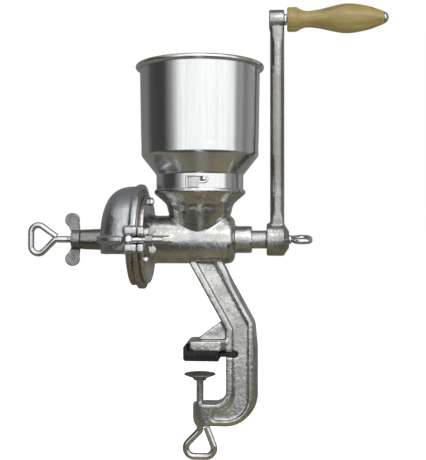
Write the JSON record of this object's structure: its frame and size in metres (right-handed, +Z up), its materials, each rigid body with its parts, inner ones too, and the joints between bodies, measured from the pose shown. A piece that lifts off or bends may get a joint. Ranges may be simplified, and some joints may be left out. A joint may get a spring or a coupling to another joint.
{
  "type": "hand grain mill",
  "caption": "Cast table-clamped grain mill: hopper over a feed auger, burr plates under a hood with a screw adjuster, and a crank with a turned wooden grip.",
  "frame": {"origin": "on the underside of the jaw pad, where it rests on the table top, on the line of the clamp screw", "axes": "+X along the auger towards the crank, +Y towards the back, +Z up"},
  "size_m": [0.3627, 0.1284, 0.4533],
  "materials": {
    "tinned_casting": "bright tinned casting with a sand-cast grain",
    "spun_sheet": "bright spun sheet with fine turning lines",
    "burr_iron": "grey cast iron",
    "zinc_steel": "bright zinc plate",
    "grey_zinc": "dull grey zinc",
    "black_rubber": "matt moulded rubber",
    "turned_wood": "varnished pale hardwood"
  },
  "bodies": {
    "frame": {"mill_body": "tinned_casting", "cover": "tinned_casting", "cover_hinge_pins": "zinc_steel", "stationary_burr": "burr_iron", "burr_screws": "zinc_steel", "burr_nuts": "zinc_steel", "jaw_pad": "black_rubber"},
    "hopper": {"hopper": "spun_sheet"},
    "front_bolt": {"front_swing_bolt": "zinc_steel"},
    "front_nut": {"front_wing_nut": "grey_zinc"},
    "rear_bolt": {"rear_swing_bolt": "zinc_steel"},
    "rear_nut": {"rear_wing_nut": "grey_zinc"},
    "thrust": {"thrust_ball": "zinc_steel"},
    "adjuster": {"adjusting_screw": "zinc_steel"},
    "lock_nut": {"lock_wing_nut": "grey_zinc"},
    "crank": {"auger": "burr_iron", "rotating_burr": "burr_iron", "burr_drive_pin": "zinc_steel", "crank_arm": "tinned_casting", "crank_screw": "zinc_steel", "grip_bolt": "zinc_steel", "grip_lock_nut": "zinc_steel"},
    "grip": {"grip": "turned_wood"},
    "disc": {"clamp_disc": "zinc_steel"},
    "screw": {"clamp_screw": "zinc_steel"}
  },
  "joints": [
    {"name": "hopper_twist", "type": "hinge", "parent": "frame", "child": "hopper", "pos_m": [0, 0, 0.175], "axis": [0, 0, 1], "range_deg": [0, 15]},
    {"name": "front_bolt_swing", "type": "hinge", "parent": "frame", "child": "front_bolt", "pos_m": [-0.062, -0.057, 0.119], "axis": [0, 0, -1], "range_deg": [0, 90]},
    {"name": "front_nut_turn", "type": "hinge", "parent": "front_bolt", "child": "front_nut", "pos_m": [-0.042, -0.057, 0.119], "axis": [1, 0, 0], "range_deg": [0, 360]},
    {"name": "rear_bolt_swing", "type": "hinge", "parent": "frame", "child": "rear_bolt", "pos_m": [-0.062, 0.057, 0.119], "axis": [0, 0, 1], "range_deg": [0, 90]},
    {"name": "rear_nut_turn", "type": "hinge", "parent": "rear_bolt", "child": "rear_nut", "pos_m": [-0.042, 0.057, 0.119], "axis": [1, 0, 0], "range_deg": [0, 360]},
    {"name": "burr_travel", "type": "slide", "parent": "frame", "child": "thrust", "axis": [1, 0, 0], "range_m": [-0.003, 0.0009]},
    {"name": "adjuster_turn", "type": "hinge", "parent": "thrust", "child": "adjuster", "pos_m": [-0.11, 0, 0.119], "axis": [1, 0, 0], "range_deg": [-721, 217]},
    {"name": "lock_nut_turn", "type": "hinge", "parent": "frame", "child": "lock_nut", "pos_m": [-0.126, 0, 0.119], "axis": [1, 0, 0], "range_deg": [-360, 0]},
    {"name": "crank_turn", "type": "hinge", "parent": "thrust", "child": "crank", "pos_m": [0.044, 0, 0.119], "axis": [1, 0, 0], "continuous": true},
    {"name": "grip_spin", "type": "hinge", "parent": "crank", "child": "grip", "pos_m": [0.134, 0, 0.3375], "axis": [1, 0, 0], "continuous": true},
    {"name": "clamp_travel", "type": "slide", "parent": "frame", "child": "disc", "axis": [0, 0, 1], "range_m": [-0.021, 0.001]},
    {"name": "clamp_turn", "type": "hinge", "parent": "disc", "child": "screw", "pos_m": [0, 0, -0.05], "axis": [0, 0, 1], "range_deg": [-5041, 241]}
  ],
  "couplings": [
    {"joint": "adjuster_turn", "follows": "burr_travel", "rad_per_m": 4188.8},
    {"joint": "clamp_turn", "follows": "clamp_travel", "rad_per_m": 4188.8}
  ]
}
